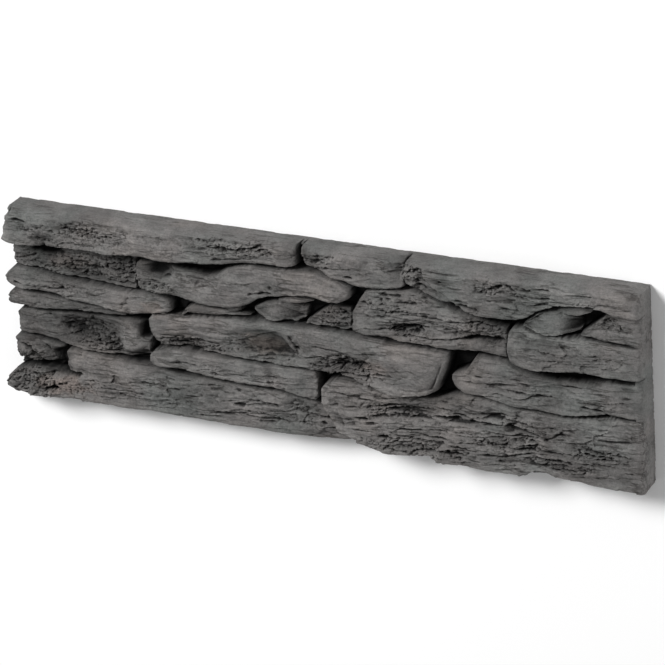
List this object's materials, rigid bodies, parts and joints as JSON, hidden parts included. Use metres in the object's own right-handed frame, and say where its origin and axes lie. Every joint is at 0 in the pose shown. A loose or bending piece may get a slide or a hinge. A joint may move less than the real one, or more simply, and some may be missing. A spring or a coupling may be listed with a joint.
{
  "type": "ledgestone cladding tile",
  "caption": "Cast concrete wall cladding tile with a flat back and a ledgestone face of long split stones in courses.",
  "frame": {"origin": "centre of the tile's outline on the plane of its back face, which it lies on", "axes": "+X along the courses towards the straight end, +Y up the wall towards the straight top edge, +Z out of the wall"},
  "size_m": [0.5, 0.1499, 0.0257],
  "materials": {
    "concrete": "matt cast concrete, dark grey through and through, with a rough split-stone face"
  },
  "bodies": {
    "root": {"cladding_tile": "concrete"}
  },
  "joints": []
}
